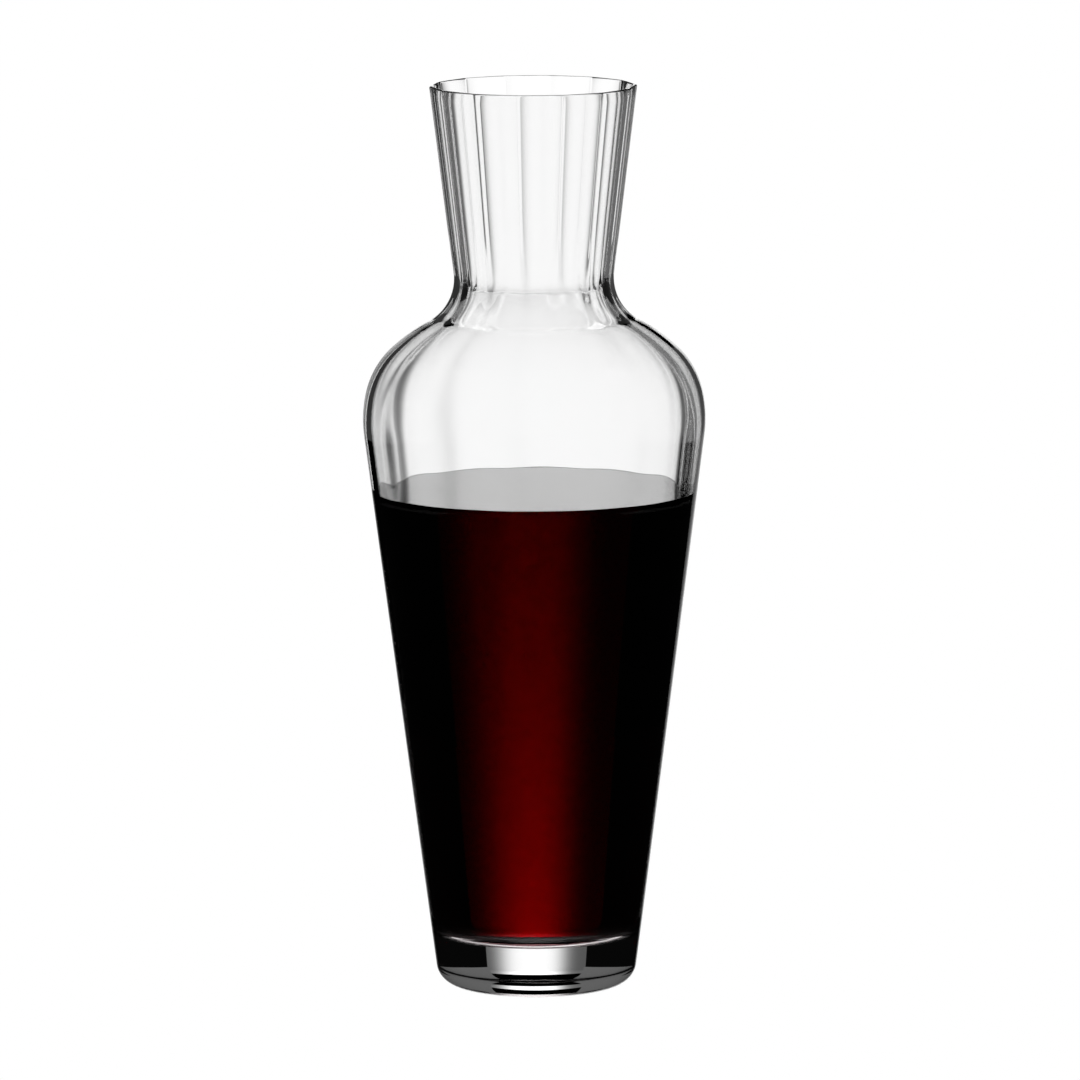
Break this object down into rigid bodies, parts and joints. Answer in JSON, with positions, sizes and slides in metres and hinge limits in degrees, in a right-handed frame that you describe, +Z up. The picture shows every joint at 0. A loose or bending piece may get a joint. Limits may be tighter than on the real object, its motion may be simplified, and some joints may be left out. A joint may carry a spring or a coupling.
{
  "type": "wine decanter",
  "caption": "Tall faceted glass decanter without a stopper: flared neck, round shoulder, tapered body, thick base, filled with red wine.",
  "frame": {"origin": "centre of the foot, on the plane of the table that it stands on", "axes": "+Z up along the vessel's axis, towards the mouth; -Y towards the front, where one flat faces squarely"},
  "size_m": [0.1108, 0.1092, 0.293],
  "materials": {
    "clear_glass": "clear, fire-polished crystal glass",
    "red_wine": "clear dark red liquid with a mirror-smooth surface"
  },
  "bodies": {
    "root": {"decanter_glass": "clear_glass", "red_wine": "red_wine"}
  },
  "joints": []
}
